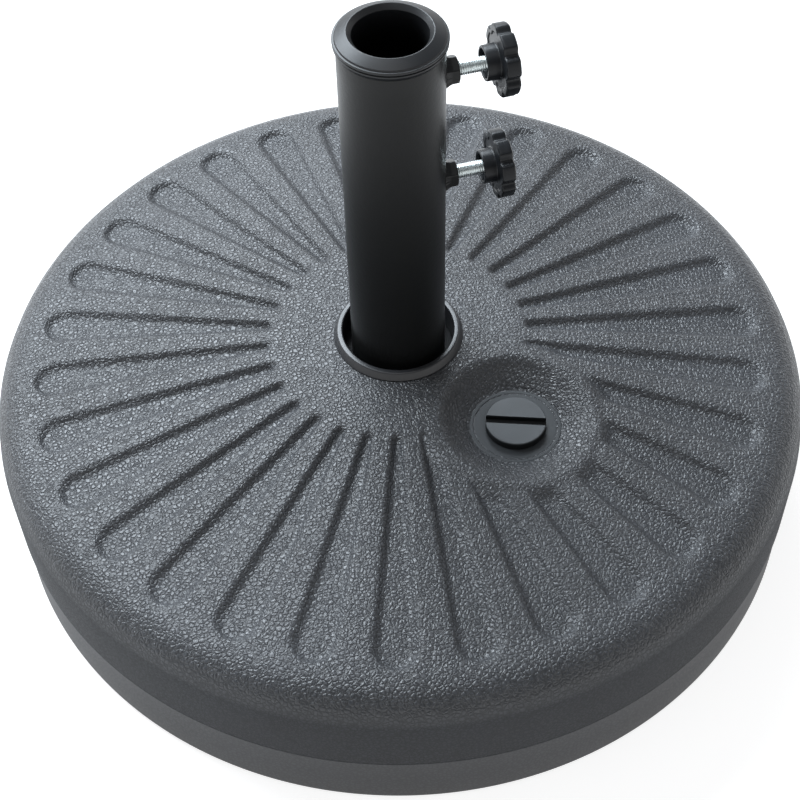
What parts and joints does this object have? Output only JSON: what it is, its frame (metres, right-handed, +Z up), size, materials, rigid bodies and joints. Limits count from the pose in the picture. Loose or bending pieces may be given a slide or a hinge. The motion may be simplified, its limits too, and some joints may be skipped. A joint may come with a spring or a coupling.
{
  "type": "parasol base",
  "caption": "Round hollow fillable parasol base with a fluted deck, a screw-in steel stand tube, a guide sleeve, side clamp knobs and a slotted filling plug.",
  "frame": {"origin": "centre of the tank on the floor", "axes": "+Z up along the stand tube, +X along the two clamp screws towards their knobs"},
  "size_m": [0.5, 0.5, 0.353],
  "materials": {
    "tank_plastic": "grained mid grey polyethylene",
    "tank_plastic_smooth": "smooth grey polyethylene",
    "washer_rubber": "black rubber",
    "plug_plastic": "satin grey plastic",
    "socket_plastic": "smooth dark grey plastic",
    "rivet_metal": "plain",
    "tube_paint": "satin black powder coat",
    "sleeve_plastic": "satin black plastic",
    "pad_plastic": "black plastic",
    "zinc_steel": "bright zinc plate",
    "knob_plastic": "satin black plastic"
  },
  "bodies": {
    "tank": {"tank_deck": "tank_plastic", "tank_side": "tank_plastic", "tank_floor": "tank_plastic", "tank_well": "tank_plastic", "fill_neck": "tank_plastic_smooth", "socket_collar": "socket_plastic", "tube_foot": "socket_plastic", "foot_rivet_right": "rivet_metal", "foot_rivet_left": "rivet_metal", "stand_tube": "tube_paint", "top_sleeve": "sleeve_plastic", "upper_weld_nut": "tube_paint", "lower_weld_nut": "tube_paint"},
    "upper_pad": {"upper_pressure_pad": "pad_plastic"},
    "upper_clamp": {"upper_clamp_bolt": "zinc_steel", "upper_knob": "knob_plastic"},
    "lower_pad": {"lower_pressure_pad": "pad_plastic"},
    "lower_clamp": {"lower_clamp_bolt": "zinc_steel", "lower_knob": "knob_plastic"},
    "plug_washer": {"fill_washer": "washer_rubber"},
    "plug": {"fill_plug": "plug_plastic"}
  },
  "joints": [
    {"name": "upper_screw_travel", "type": "slide", "parent": "tank", "child": "upper_pad", "axis": [-1, 0, 0], "range_m": [-0.0008, 0.014]},
    {"name": "upper_knob_turn", "type": "hinge", "parent": "upper_pad", "child": "upper_clamp", "pos_m": [0.05, 0, 0.318], "axis": [-1, 0, 0], "range_deg": [-230, 4031]},
    {"name": "lower_screw_travel", "type": "slide", "parent": "tank", "child": "lower_pad", "axis": [-1, 0, 0], "range_m": [-0.0008, 0.014]},
    {"name": "lower_knob_turn", "type": "hinge", "parent": "lower_pad", "child": "lower_clamp", "pos_m": [0.05, 0, 0.2455], "axis": [-1, 0, 0], "range_deg": [-230, 4031]},
    {"name": "plug_lift", "type": "slide", "parent": "tank", "child": "plug_washer", "axis": [0, 0, 1], "range_m": [0, 0.0201]},
    {"name": "plug_turn", "type": "hinge", "parent": "plug_washer", "child": "plug", "pos_m": [0.04981, -0.07972, 0.11], "axis": [0, 0, 1], "range_deg": [0, 1800]}
  ],
  "couplings": [
    {"joint": "upper_screw_travel", "follows": "upper_knob_turn", "m_per_rad": 0.00019894},
    {"joint": "lower_screw_travel", "follows": "lower_knob_turn", "m_per_rad": 0.00019894},
    {"joint": "plug_lift", "follows": "plug_turn", "m_per_rad": 0.00063662}
  ]
}
